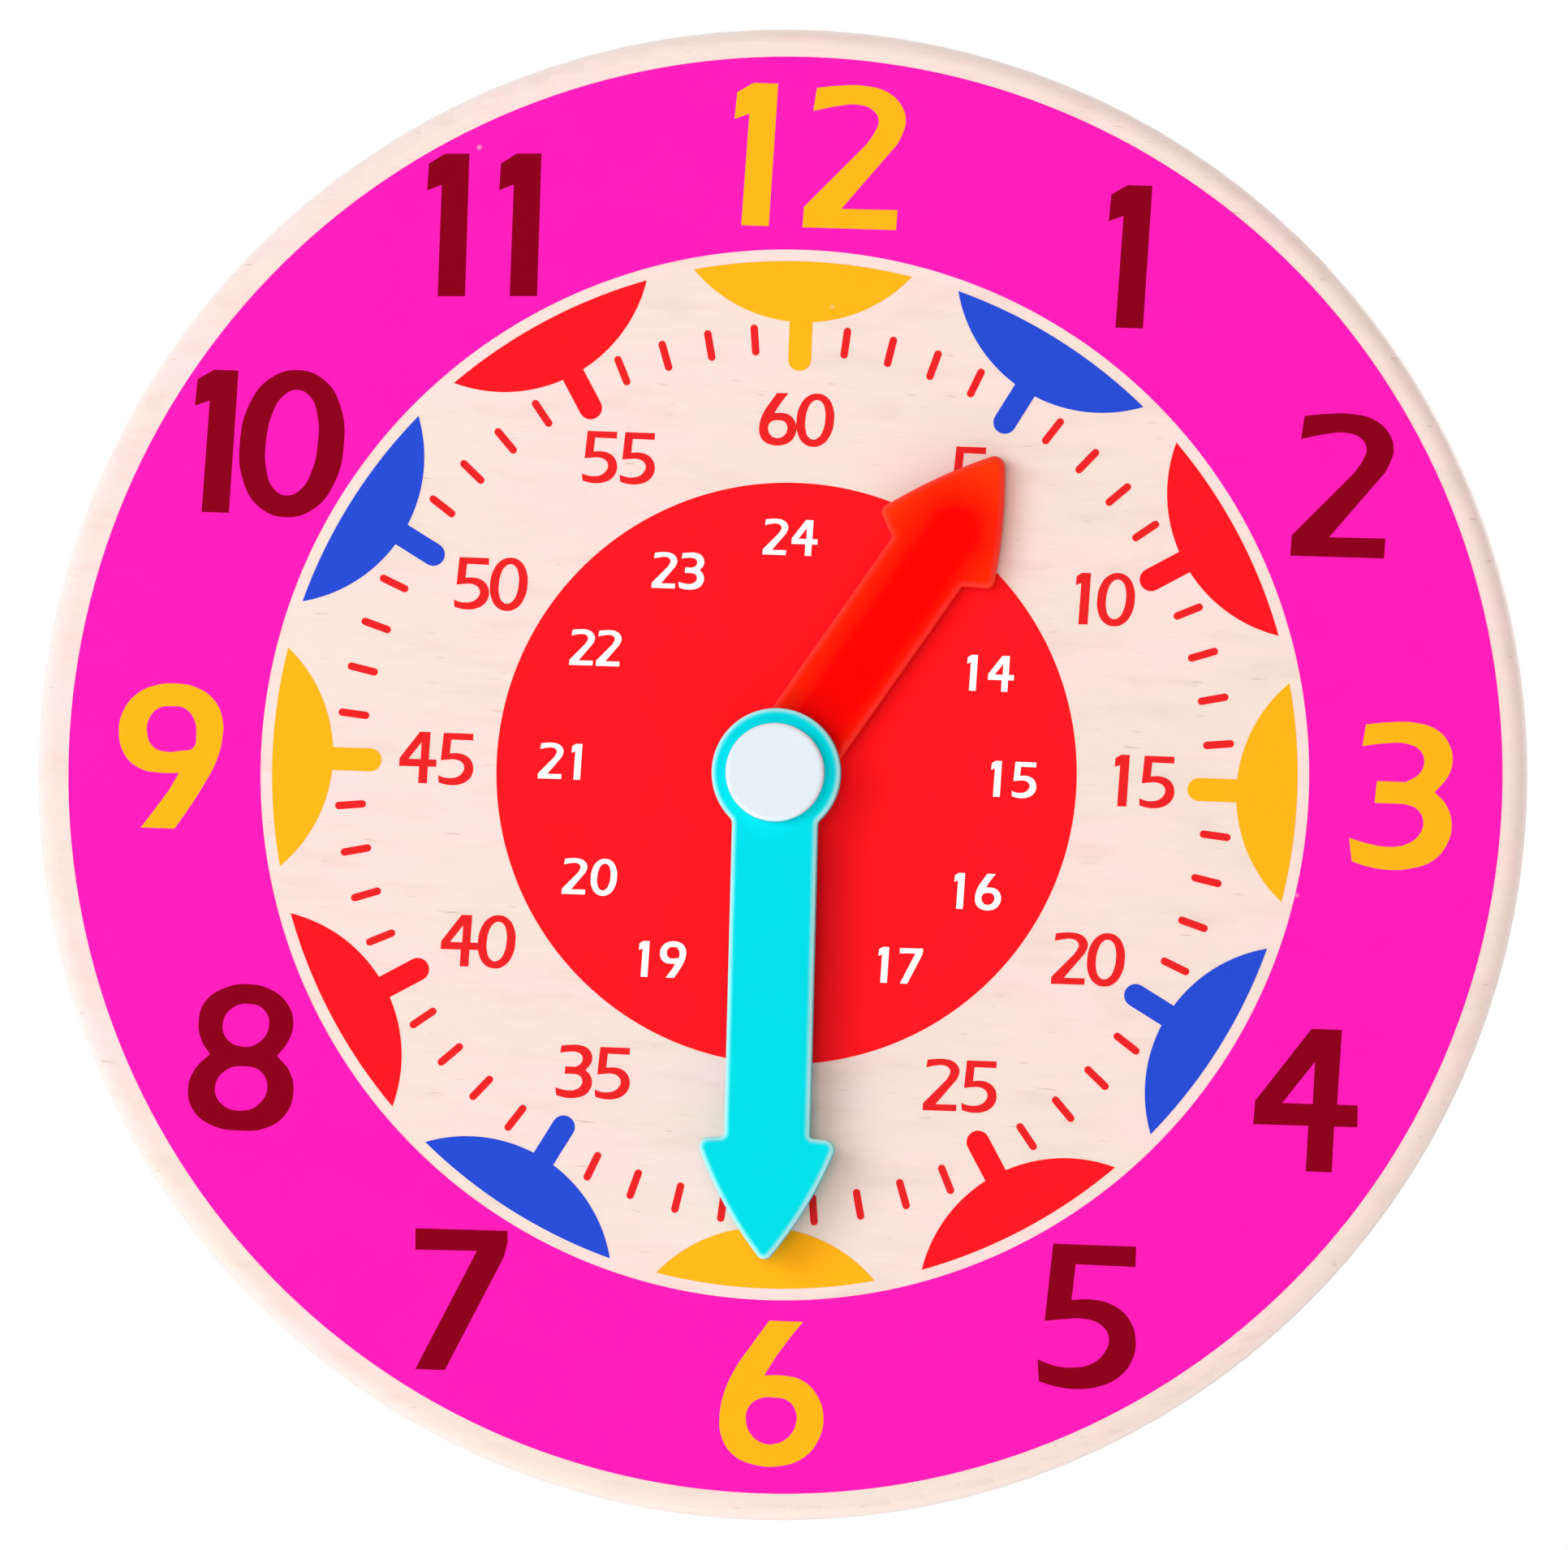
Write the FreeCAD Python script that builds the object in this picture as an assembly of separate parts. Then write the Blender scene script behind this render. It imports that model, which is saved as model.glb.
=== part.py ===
import FreeCAD, Part

import math
import os

# Geared teaching clock: a round wooden dial board, two plastic hands and a flat
# gear case behind the board. Turning the minute hand drives the hour hand
# twelve times slower through a pinion, an intermediate gear and an hour wheel.
#
# The origin is on the wall plane, on the axis of the hands. +Z is up, +X is to
# the right of someone who reads the clock, and the dial faces -Y. A depth is a
# distance in front of the wall, so a depth d lies at y = -d. Millimetres.

Vector = FreeCAD.Vector
FORWARD = Vector(0, -1, 0)
AXIS = Vector(0, 1, 0)
CENTRE = Vector(0, 0, 0)

# Clearances and cuts
running_clearance = 0.05
seat_clearance = 0.03
end_play = 0.3
overrun = 1.0
same_place = 0.01

# Dial board
board_diameter = 220.0
board_thickness = 8.0
board_front_round = 2.4
board_back_bevel = 1.0
board_hole_clearance = 0.1

# Hands
hand_thickness = 3.0
hour_rest_angle = 33.1
minute_rest_angle = 179.3

minute_hub_radius = 9.5
minute_stem_width = 12.6
minute_neck = 53.7
minute_barb_back = 54.0
minute_barb_width = 21.0
minute_point = 72.3
minute_side_bow = 0.95
minute_point_round = 1.2
minute_barb_round = 1.4
minute_rim_round = 0.9

hour_hub_radius = 9.0
hour_stem_width = 12.6
hour_neck = 38.1
hour_barb_back = 40.4
hour_barb_width = 20.4
hour_point = 57.8
hour_side_bow = 0.65
hour_point_round = 1.5
hour_barb_round = 1.2
hour_rim_round = 1.1

neck_round = 0.6
hub_round = 1.2

# Cap on the minute hand, and the washers round the hand axis
cap_margin = 2.25
cap_height = 2.4
cap_edge_round = 0.7
cap_socket_depth = 1.4
spacer_radius = 6.0
spacer_thickness = 0.8
dial_washer_radius = 8.5
dial_washer_thickness = 0.8
thrust_washer_radius = 6.0
thrust_washer_thickness = 0.4

# Gears. The shares are the usual ones of a standard tooth.
gear_module = 0.8
pressure_angle = math.radians(25.0)
backlash = 0.12
addendum_share = 1.0
dedendum_share = 1.25
minute_pinion_teeth = 15
intermediate_wheel_teeth = 45
intermediate_pinion_teeth = 12
hour_wheel_teeth = 48
pinion_face = 4.0
wheel_face = 3.0
web_thickness = 1.4
rim_thickness = 2.2
hour_wheel_hub_radius = 6.6
intermediate_hub_radius = 6.4
intermediate_seat_across = 7.6
web_hole_radius = 2.6
web_hole_count = 5
hub_step = 0.5

# Arbor, pipe and pin
arbor_radius = 2.0
arbor_flat = 1.5
arbor_groove_depth = 0.4
clip_thickness = 0.5
clip_radius = 3.4
clip_mouth = 2.6
friction_washer_space = 0.7
friction_washer_radius = 3.8
friction_washer_sheet = 0.25
pipe_radius = 3.6
pipe_seat_radius = 3.1
pipe_seat_flat = 2.5
pin_radius = 1.5
pin_end_gap = 0.4
socket_floor = 1.0

# Gear case
case_wall = 2.0
cover_wall = 2.6
case_gear_gap = 1.5
cover_edge_bevel = 0.7
lip_height = 1.5
lip_wall = 1.2
lip_clearance = 0.15
bush_radius = 5.6
bush_stand = 1.4
bush_boss_radius = 6.4
bush_boss_height = 0.6
arbor_boss_radius = 4.4
arbor_boss_height = 2.0
pin_boss_radius = 3.6
pin_washer_thickness = 0.4
pin_washer_radius = 3.4

# Screws that hold the case to the board, and their ears
ear_radius = 4.8
ear_thickness = 3.0
ear_out = 4.4
upper_ear_angle = math.radians(38.0)
lower_ear_angle = math.radians(-50.0)
ear_hole_radius = 1.75
case_screw_core = 1.2
case_screw_head_radius = 3.3
case_screw_head_height = 1.9
case_screw_length = 9.0

# Screws that close the cover, and their columns
column_radius = 3.4
column_out = 2.4
cover_screw_core = 1.0
cover_screw_head_radius = 2.3
cover_screw_head_height = 1.3
cover_screw_length = 9.0
counterbore_radius = 2.6
counterbore_depth = 1.5
pilot_extra_depth = 1.0
head_bevel = 0.5

# Hanging eye, at the top of the cover
eye_radius = 3.5
eye_tab_radius = 7.5
eye_rise = 10.5

# Gear sizes that follow from the teeth
minute_pinion_radius = gear_module * minute_pinion_teeth / 2
intermediate_wheel_radius = gear_module * intermediate_wheel_teeth / 2
hour_wheel_radius = gear_module * hour_wheel_teeth / 2
addendum = gear_module * addendum_share
dedendum = gear_module * dedendum_share
centre_distance = minute_pinion_radius + intermediate_wheel_radius
down = math.radians(-90.0)
up = math.radians(90.0)

# Depths along the arbor, from the wall to the reader
cover_front = cover_wall
arbor_boss_top = cover_front + arbor_boss_height
clip_back = arbor_boss_top + friction_washer_space
pinion_back = clip_back + clip_thickness
pinion_front = pinion_back + pinion_face
hour_hub_back = pinion_front + end_play
hour_wheel_back = hour_hub_back + hub_step
hour_wheel_front = hour_wheel_back + wheel_face
hour_hub_front = hour_wheel_front + hub_step
thrust_washer_front = hour_hub_front + thrust_washer_thickness
bush_boss_back = thrust_washer_front + end_play
plate_back = bush_boss_back + bush_boss_height
board_back = plate_back + case_wall
board_front = board_back + board_thickness
bush_front = board_front + bush_stand
hour_hand_back = bush_front + end_play
hour_hand_front = hour_hand_back + hand_thickness
spacer_back = hour_hand_front + end_play
minute_hand_back = spacer_back + spacer_thickness
minute_hand_front = minute_hand_back + hand_thickness
cap_front = minute_hand_front + cap_height
arbor_back = socket_floor + end_play
arbor_front = minute_hand_front + cap_socket_depth - end_play

# Depths along the intermediate pin
intermediate_back = pinion_back + (pinion_face - wheel_face) / 2
intermediate_front = intermediate_back + wheel_face
intermediate_tip = hour_hub_front
pin_boss_top = intermediate_back - pin_washer_thickness - end_play
pin_boss_back = intermediate_tip + end_play
pin_back = socket_floor + end_play
pin_front = board_back - pin_end_gap

# Radii of fits
arbor_bore = arbor_radius + running_clearance
bush_bore = pipe_radius + running_clearance
pin_bore = pin_radius + running_clearance
pin_seat = pin_radius + seat_clearance
board_hole = bush_radius + board_hole_clearance

# Inside of the gear case, and the places of its screws
case_upper_radius = hour_wheel_radius + addendum + case_gear_gap
case_lower_radius = intermediate_wheel_radius + addendum + case_gear_gap
pin_place = Vector(0, 0, -centre_distance)
column_upper = case_upper_radius + case_wall + column_out
column_lower = centre_distance + case_lower_radius + case_wall + column_out
column_side = (case_upper_radius + case_lower_radius) / 2 + case_wall + column_out
column_places = [
    Vector(0, 0, column_upper),
    Vector(0, 0, -column_lower),
    Vector(column_side, 0, -centre_distance / 2),
    Vector(-column_side, 0, -centre_distance / 2),
]
eye_place = Vector(0, 0, column_upper + eye_rise)


def polar(radius, angle, centre=CENTRE):
    """Point in the dial's plane, its angle counted from +X towards +Z."""
    return centre + Vector(radius * math.cos(angle), 0, radius * math.sin(angle))


def mirrored(point):
    return Vector(-point.x, point.y, point.z)


def arc(start, middle, end):
    return Part.Arc(start, middle, end).toShape()


def line(start, end):
    return Part.LineSegment(start, end).toShape()


def turned(radius, start, end, place=CENTRE):
    """Cylinder between two depths."""
    base = Vector(place.x, -start, place.z)
    return Part.makeCylinder(radius, end - start, base, FORWARD)


def ring(outer, inner, start, end, place=CENTRE):
    hole = turned(inner, start - overrun, end + overrun, place)
    return turned(outer, start, end, place).cut(hole)


def slab(wire, start, end):
    """Outline in the dial's plane, as a solid between two depths."""
    face = Part.Face(wire)
    face.translate(Vector(0, -start, 0))
    return face.extrude(Vector(0, start - end, 0))


def slot_wire(first, last, radius):
    """Outline at one distance round a straight stretch."""
    along = (last - first).normalize()
    aside = Vector(-along.z, 0, along.x) * radius
    ahead = along * radius
    edges = [
        arc(first + aside, first - ahead, first - aside),
        line(first - aside, last - aside),
        arc(last - aside, last + ahead, last + aside),
        line(last + aside, first + aside),
    ]
    return Part.Wire(edges)


def flat_sides(radius, flat, start, end, angle, count):
    """Shaft with one flat, as a D, or two, each at one distance from the axis."""
    shaft = turned(radius, start, end)
    width = 2 * radius + 2 * overrun
    for side in range(count):
        corner = Vector(-width / 2, -end - overrun, flat)
        chip = Part.makeBox(width, end - start + 2 * overrun, width, corner)
        chip.rotate(CENTRE, AXIS, angle + 180.0 * side)
        shaft = shaft.cut(chip)
    return shaft


def rounded_at(solid, radius, corners):
    """Rounds the edges that run along the depth through the given corners."""
    chosen = []
    for edge in solid.Edges:
        start = edge.Vertexes[0].Point
        end = edge.Vertexes[-1].Point
        runs_deep = abs(start.y - end.y) > same_place
        for corner in corners:
            reach = math.hypot(start.x - corner.x, start.z - corner.z)
            if runs_deep and reach < same_place:
                chosen.append(edge)
    return solid.makeFillet(radius, chosen)


def rim_edges(solid, depth):
    """Every edge of the face at one depth."""
    chosen = []
    for edge in solid.Edges:
        box = edge.BoundBox
        if abs(box.YMin + depth) < same_place and box.YLength < same_place:
            chosen.append(edge)
    return chosen


def rounded_rim(solid, radius, depth):
    return solid.makeFillet(radius, rim_edges(solid, depth))


def bevelled_rim(solid, width, depth):
    return solid.makeChamfer(width, rim_edges(solid, depth))


def involute(angle):
    return math.tan(angle) - angle


def gear_wire(teeth, phase):
    """Closed tooth outline, with the middle of one tooth at the phase angle.

    Small pinions get round roots, wheels flat ones.
    """
    pitch_radius = gear_module * teeth / 2
    base_radius = pitch_radius * math.cos(pressure_angle)
    tip_radius = pitch_radius + addendum
    root_radius = pitch_radius - dedendum
    flank_foot = max(base_radius, root_radius)
    flank_middle = (flank_foot + tip_radius) / 2
    tooth_width = math.pi * gear_module / 2 - backlash / 2

    def half_angle(radius):
        at_radius = math.acos(min(base_radius / radius, 1))
        at_pitch = tooth_width / (2 * pitch_radius)
        return at_pitch + involute(pressure_angle) - involute(at_radius)

    foot = half_angle(flank_foot)
    middle = half_angle(flank_middle)
    tip = half_angle(tip_radius)
    step = 2 * math.pi / teeth
    edges = []
    for number in range(teeth):
        centre = phase + number * step
        rising = [
            polar(flank_foot, centre - foot),
            polar(flank_middle, centre - middle),
            polar(tip_radius, centre - tip),
        ]
        falling = [
            polar(tip_radius, centre + tip),
            polar(flank_middle, centre + middle),
            polar(flank_foot, centre + foot),
        ]
        following = polar(flank_foot, centre + step - foot)
        edges.append(arc(*rising))
        edges.append(line(rising[-1], falling[0]))
        edges.append(arc(*falling))
        if base_radius > root_radius:
            edges.append(arc(falling[-1], polar(root_radius, centre + step / 2), following))
        else:
            edges.append(line(falling[-1], following))
    return Part.Wire(edges)


def webbed_wheel(teeth, phase, start, hub_radius):
    """Moulded wheel: toothed rim, thin web with round holes, and a full-depth hub."""
    root_radius = gear_module * teeth / 2 - dedendum
    rim_inside = root_radius - rim_thickness
    end = start + wheel_face
    wheel = slab(gear_wire(teeth, phase), start, end)
    recess = (wheel_face - web_thickness) / 2
    wheel = wheel.cut(ring(rim_inside, hub_radius, start - overrun, start + recess))
    wheel = wheel.cut(ring(rim_inside, hub_radius, end - recess, end + overrun))
    for number in range(web_hole_count):
        angle = phase + 2 * math.pi * number / web_hole_count
        place = polar((rim_inside + hub_radius) / 2, angle)
        wheel = wheel.cut(turned(web_hole_radius, start - overrun, end + overrun, place))
    return wheel


def make_hand(hub_radius, stem_width, neck, barb_back, barb_width, point, side_bow):
    """Flat arrow hand that points to +Z, with bowed sides to its head."""
    stem = stem_width / 2
    barb = barb_width / 2
    hub_join = math.sqrt(hub_radius**2 - stem**2)
    hub_corner = Vector(stem, 0, hub_join)
    neck_corner = Vector(stem, 0, neck)
    barb_corner = Vector(barb, 0, barb_back)
    tip = Vector(0, 0, point)
    chord = tip - barb_corner
    outward = Vector(chord.z, 0, -chord.x).normalize()
    side = (barb_corner + tip) / 2 + outward * side_bow
    edges = [
        line(hub_corner, neck_corner),
        line(neck_corner, barb_corner),
        arc(barb_corner, side, tip),
        arc(tip, mirrored(side), mirrored(barb_corner)),
        line(mirrored(barb_corner), mirrored(neck_corner)),
        line(mirrored(neck_corner), mirrored(hub_corner)),
        arc(mirrored(hub_corner), Vector(0, 0, -hub_radius), hub_corner),
    ]
    corners = {
        "hub": [hub_corner, mirrored(hub_corner)],
        "neck": [neck_corner, mirrored(neck_corner)],
        "barb": [barb_corner, mirrored(barb_corner)],
        "tip": [tip],
    }
    return Part.Wire(edges), corners


def make_dial_board():
    board = turned(board_diameter / 2, board_back, board_front)
    board = rounded_rim(board, board_front_round, board_front)
    board = bevelled_rim(board, board_back_bevel, board_back)
    board = board.cut(turned(board_hole, board_back - overrun, board_front + overrun))
    pilot_depth = case_screw_length - ear_thickness + pilot_extra_depth
    for place in ear_places():
        pilot = case_screw_core + seat_clearance
        board = board.cut(turned(pilot, board_back - overrun, board_back + pilot_depth, place))
    return board


def ear_places():
    upper = case_upper_radius + case_wall + ear_out
    lower = case_lower_radius + case_wall + ear_out
    right = [polar(upper, upper_ear_angle), polar(lower, lower_ear_angle, pin_place)]
    return right + [mirrored(place) for place in right]


def case_wire(margin):
    """Outline round both gear centres, at a margin outside the case's cavity."""
    upper = case_upper_radius + margin
    lower = case_lower_radius + margin
    lean = math.asin((lower - upper) / centre_distance)
    upper_side = polar(upper, lean)
    lower_side = polar(lower, lean, pin_place)
    edges = [
        arc(upper_side, Vector(0, 0, upper), mirrored(upper_side)),
        line(mirrored(upper_side), mirrored(lower_side)),
        arc(mirrored(lower_side), pin_place - Vector(0, 0, lower), lower_side),
        line(lower_side, upper_side),
    ]
    return Part.Wire(edges)


def make_gear_case():
    case = slab(case_wire(case_wall), cover_front, board_back)
    for place in column_places:
        case = case.fuse(turned(column_radius, cover_front, board_back, place))
    ear_back = board_back - ear_thickness
    for place in ear_places():
        inner = CENTRE if place.z > pin_place.z else pin_place
        case = case.fuse(slab(slot_wire(place, inner, ear_radius), ear_back, board_back))
    case = case.cut(slab(case_wire(0), cover_front - overrun, plate_back))
    case = case.fuse(turned(bush_boss_radius, bush_boss_back, board_back))
    case = case.fuse(turned(bush_radius, plate_back, bush_front))
    case = case.fuse(turned(pin_boss_radius, pin_boss_back, board_back, pin_place))
    case = case.cut(turned(bush_bore, bush_boss_back - overrun, bush_front + overrun))
    case = case.cut(turned(pin_seat, pin_boss_back - overrun, board_back + overrun, pin_place))
    for place in ear_places():
        case = case.cut(turned(ear_hole_radius, ear_back - overrun, board_back + overrun, place))
    pilot_front = counterbore_depth + cover_screw_length + pilot_extra_depth
    pilot = cover_screw_core + seat_clearance
    for place in column_places:
        case = case.cut(turned(pilot, cover_front - overrun, pilot_front, place))
    return case.removeSplitter()


def make_case_cover():
    cover = slab(case_wire(case_wall), 0, cover_wall)
    cover = bevelled_rim(cover, cover_edge_bevel, 0)
    for place in column_places:
        cover = cover.fuse(turned(column_radius, 0, cover_wall, place))
    tab_wire = slot_wire(column_places[0], eye_place, eye_tab_radius)
    cover = cover.fuse(slab(tab_wire, 0, cover_wall))
    lip = slab(case_wire(-lip_clearance), cover_wall, cover_wall + lip_height)
    lip_inside = case_wire(-lip_clearance - lip_wall)
    lip = lip.cut(slab(lip_inside, cover_wall, cover_wall + lip_height + overrun))
    cover = cover.fuse(lip)
    cover = cover.fuse(turned(arbor_boss_radius, cover_wall, arbor_boss_top))
    cover = cover.fuse(turned(pin_boss_radius, cover_wall, pin_boss_top, pin_place))
    cover = cover.cut(turned(arbor_bore, socket_floor, arbor_boss_top + overrun))
    cover = cover.cut(turned(pin_seat, socket_floor, pin_boss_top + overrun, pin_place))
    cover = cover.cut(turned(eye_radius, -overrun, cover_wall + overrun, eye_place))
    screw_hole = cover_screw_core + running_clearance
    for place in column_places:
        cover = cover.cut(turned(screw_hole, -overrun, cover_wall + overrun, place))
        cover = cover.cut(turned(counterbore_radius, -overrun, counterbore_depth, place))
    return cover.removeSplitter()


def make_screws(places, seat, head_radius, head_height, core, length):
    """Pan-head screws driven from behind, the undersides of their heads at one depth."""
    screws = []
    for place in places:
        head = turned(head_radius, seat - head_height, seat, place)
        head = bevelled_rim(head, head_bevel, seat - head_height)
        screws.append(head.fuse(turned(core, seat, seat + length, place)).removeSplitter())
    return Part.makeCompound(screws)


def make_hour_wheel():
    wheel = webbed_wheel(hour_wheel_teeth, down, hour_wheel_back, hour_wheel_hub_radius)
    wheel = wheel.fuse(turned(hour_wheel_hub_radius, hour_hub_back, hour_hub_front))
    wheel = wheel.fuse(turned(pipe_radius, hour_hub_front, hour_hand_back))
    seat = flat_sides(
        pipe_seat_radius, pipe_seat_flat, hour_hand_back, hour_hand_front, hour_rest_angle, 2
    )
    wheel = wheel.fuse(seat)
    wheel = wheel.cut(turned(arbor_bore, hour_hub_back - overrun, hour_hand_front + overrun))
    return wheel.removeSplitter()


def hexagon_wire(across, centre=CENTRE):
    points = [polar(across / math.sqrt(3), math.radians(60.0 * n), centre) for n in range(6)]
    return Part.makePolygon(points + points[:1])


def make_intermediate_wheel():
    wheel = webbed_wheel(
        intermediate_wheel_teeth,
        up + math.pi / intermediate_wheel_teeth,
        intermediate_back,
        intermediate_hub_radius,
    )
    across = intermediate_seat_across + 2 * seat_clearance
    seat = slab(hexagon_wire(across), intermediate_back - overrun, intermediate_front + overrun)
    return wheel.cut(seat).translated(pin_place)


def make_intermediate_pinion():
    phase = up + math.pi / intermediate_pinion_teeth
    pinion = slab(gear_wire(intermediate_pinion_teeth, phase), intermediate_front, intermediate_tip)
    collar = slab(hexagon_wire(intermediate_seat_across), intermediate_back, intermediate_front)
    pinion = pinion.fuse(collar)
    bore = turned(pin_bore, intermediate_back - overrun, intermediate_tip + overrun)
    return pinion.cut(bore).removeSplitter().translated(pin_place)


def make_minute_pinion():
    pinion = slab(gear_wire(minute_pinion_teeth, down), pinion_back, pinion_front)
    bore = flat_sides(
        arbor_radius + seat_clearance,
        arbor_flat + seat_clearance,
        pinion_back - overrun,
        pinion_front + overrun,
        minute_rest_angle,
        1,
    )
    return pinion.cut(bore)


def make_minute_arbor():
    arbor = turned(arbor_radius, arbor_back, arbor_front)
    for start, end in ((pinion_back, pinion_front), (minute_hand_back, arbor_front)):
        flat_part = flat_sides(arbor_radius, arbor_flat, start, end, minute_rest_angle, 1)
        arbor = arbor.cut(turned(arbor_radius + overrun, start, end)).fuse(flat_part)
    groove_floor = arbor_radius - arbor_groove_depth
    return arbor.cut(ring(arbor_radius + overrun, groove_floor, clip_back, pinion_back))


def make_arbor_clip():
    """Open spring clip in the groove of the arbor, behind the pinion."""
    inside = arbor_radius - arbor_groove_depth + seat_clearance
    clip = ring(clip_radius, inside, clip_back, pinion_back)
    corner = Vector(-clip_mouth / 2, -pinion_back - overrun, 0)
    depth = clip_thickness + 2 * overrun
    return clip.cut(Part.makeBox(clip_mouth, depth, clip_radius + overrun, corner))


def make_friction_washer():
    """Dished spring washer on the cover's boss, turned from a sloping strip."""
    inside = arbor_bore + running_clearance
    rise = friction_washer_space - friction_washer_sheet - running_clearance
    points = [
        Vector(friction_washer_radius, -arbor_boss_top, 0),
        Vector(friction_washer_radius, -arbor_boss_top - friction_washer_sheet, 0),
        Vector(inside, -arbor_boss_top - friction_washer_sheet - rise, 0),
        Vector(inside, -arbor_boss_top - rise, 0),
    ]
    strip = Part.Face(Part.makePolygon(points + points[:1]))
    return strip.revolve(CENTRE, AXIS, 360.0)


def make_hour_hand():
    wire, corners = make_hand(
        hour_hub_radius,
        hour_stem_width,
        hour_neck,
        hour_barb_back,
        hour_barb_width,
        hour_point,
        hour_side_bow,
    )
    hand = slab(wire, hour_hand_back, hour_hand_front)
    hand = rounded_at(hand, hub_round, corners["hub"])
    hand = rounded_at(hand, neck_round, corners["neck"])
    hand = rounded_at(hand, hour_barb_round, corners["barb"])
    hand = rounded_at(hand, hour_point_round, corners["tip"])
    hand = rounded_rim(hand, hour_rim_round, hour_hand_front)
    bore = flat_sides(
        pipe_seat_radius + seat_clearance,
        pipe_seat_flat + seat_clearance,
        hour_hand_back - overrun,
        hour_hand_front + overrun,
        0,
        2,
    )
    hand = hand.cut(bore)
    hand.rotate(CENTRE, AXIS, hour_rest_angle)
    return hand


def make_minute_hand():
    wire, corners = make_hand(
        minute_hub_radius,
        minute_stem_width,
        minute_neck,
        minute_barb_back,
        minute_barb_width,
        minute_point,
        minute_side_bow,
    )
    hand = slab(wire, minute_hand_back, minute_hand_front)
    hand = rounded_at(hand, hub_round, corners["hub"])
    hand = rounded_at(hand, neck_round, corners["neck"])
    hand = rounded_at(hand, minute_barb_round, corners["barb"])
    hand = rounded_at(hand, minute_point_round, corners["tip"])
    hand = rounded_rim(hand, minute_rim_round, minute_hand_front)
    bore = flat_sides(
        arbor_radius + seat_clearance,
        arbor_flat + seat_clearance,
        minute_hand_back - overrun,
        minute_hand_front + overrun,
        0,
        1,
    )
    hand = hand.cut(bore)
    hand.rotate(CENTRE, AXIS, minute_rest_angle)
    return hand


def make_hand_cap():
    cap = turned(minute_hub_radius - cap_margin, minute_hand_front, cap_front)
    cap = rounded_rim(cap, cap_edge_round, cap_front)
    socket_end = minute_hand_front + cap_socket_depth
    return cap.cut(turned(arbor_radius + seat_clearance, minute_hand_front - overrun, socket_end))


def make_pieces():
    ear_back = board_back - ear_thickness
    pin_washer_front = pin_boss_top + pin_washer_thickness
    return {
        "dial_board": make_dial_board(),
        "gear_case": make_gear_case(),
        "case_cover": make_case_cover(),
        "case_screws": make_screws(
            ear_places(),
            ear_back,
            case_screw_head_radius,
            case_screw_head_height,
            case_screw_core,
            case_screw_length,
        ),
        "cover_screws": make_screws(
            column_places,
            counterbore_depth,
            cover_screw_head_radius,
            cover_screw_head_height,
            cover_screw_core,
            cover_screw_length,
        ),
        "dial_washer": ring(
            dial_washer_radius, board_hole, board_front, board_front + dial_washer_thickness
        ),
        "intermediate_pin": turned(pin_radius, pin_back, pin_front, pin_place),
        "pin_washer": ring(
            pin_washer_radius, pin_bore, pin_boss_top, pin_washer_front, pin_place
        ),
        "friction_washer": make_friction_washer(),
        "intermediate_wheel": make_intermediate_wheel(),
        "intermediate_pinion": make_intermediate_pinion(),
        "hour_wheel": make_hour_wheel(),
        "thrust_washer": ring(
            thrust_washer_radius, bush_bore, hour_hub_front, thrust_washer_front
        ),
        "hour_hand": make_hour_hand(),
        "minute_arbor": make_minute_arbor(),
        "minute_pinion": make_minute_pinion(),
        "arbor_clip": make_arbor_clip(),
        "hand_spacer": ring(spacer_radius, arbor_bore, spacer_back, minute_hand_back),
        "minute_hand": make_minute_hand(),
        "hand_cap": make_hand_cap(),
    }


os.makedirs("parts", exist_ok=True)
for node, piece in make_pieces().items():
    piece.exportStep(f"parts/{node}.step")
    print(node, piece.isValid(), len(piece.Solids), round(piece.Volume, 2))
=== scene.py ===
import math

import bmesh
import bpy
from mathutils import Matrix, Vector


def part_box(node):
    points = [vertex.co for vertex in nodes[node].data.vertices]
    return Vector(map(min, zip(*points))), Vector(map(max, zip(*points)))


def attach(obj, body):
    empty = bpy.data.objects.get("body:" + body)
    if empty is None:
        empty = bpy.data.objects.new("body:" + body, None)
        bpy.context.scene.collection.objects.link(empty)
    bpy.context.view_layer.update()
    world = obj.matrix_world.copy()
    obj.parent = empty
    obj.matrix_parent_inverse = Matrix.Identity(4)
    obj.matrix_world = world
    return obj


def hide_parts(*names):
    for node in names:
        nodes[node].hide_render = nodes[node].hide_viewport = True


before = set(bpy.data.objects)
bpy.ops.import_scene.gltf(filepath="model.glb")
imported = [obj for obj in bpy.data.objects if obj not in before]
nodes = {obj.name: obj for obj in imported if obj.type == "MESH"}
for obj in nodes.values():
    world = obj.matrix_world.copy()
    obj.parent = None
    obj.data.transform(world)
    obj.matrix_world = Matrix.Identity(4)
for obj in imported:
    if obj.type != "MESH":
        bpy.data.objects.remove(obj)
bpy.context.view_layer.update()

# A wooden teaching clock with a screen printed dial and two moulded hands.
# Lengths are millimetres times MM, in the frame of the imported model: the dial
# faces -Y, +Z is up and the hands turn about the Y axis.

MM = 0.001


# Where the printing sits. The print lies a little off the board's centre, and
# the red disc a little off the rest, as screens set by hand leave them.
dial_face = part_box("dial_board")[0].y
board_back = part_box("dial_board")[1].y
ply_middle = (dial_face + board_back) / 2
print_centre = Vector((0.64, -0.09)) * MM
disc_centre = print_centre + Vector((0.32, 0.2)) * MM
ink_thickness = 0.05 * MM

hour_ring_outside = 106.0 * MM
hour_ring_inside = 77.5 * MM
disc_radius = 42.9 * MM

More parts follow.
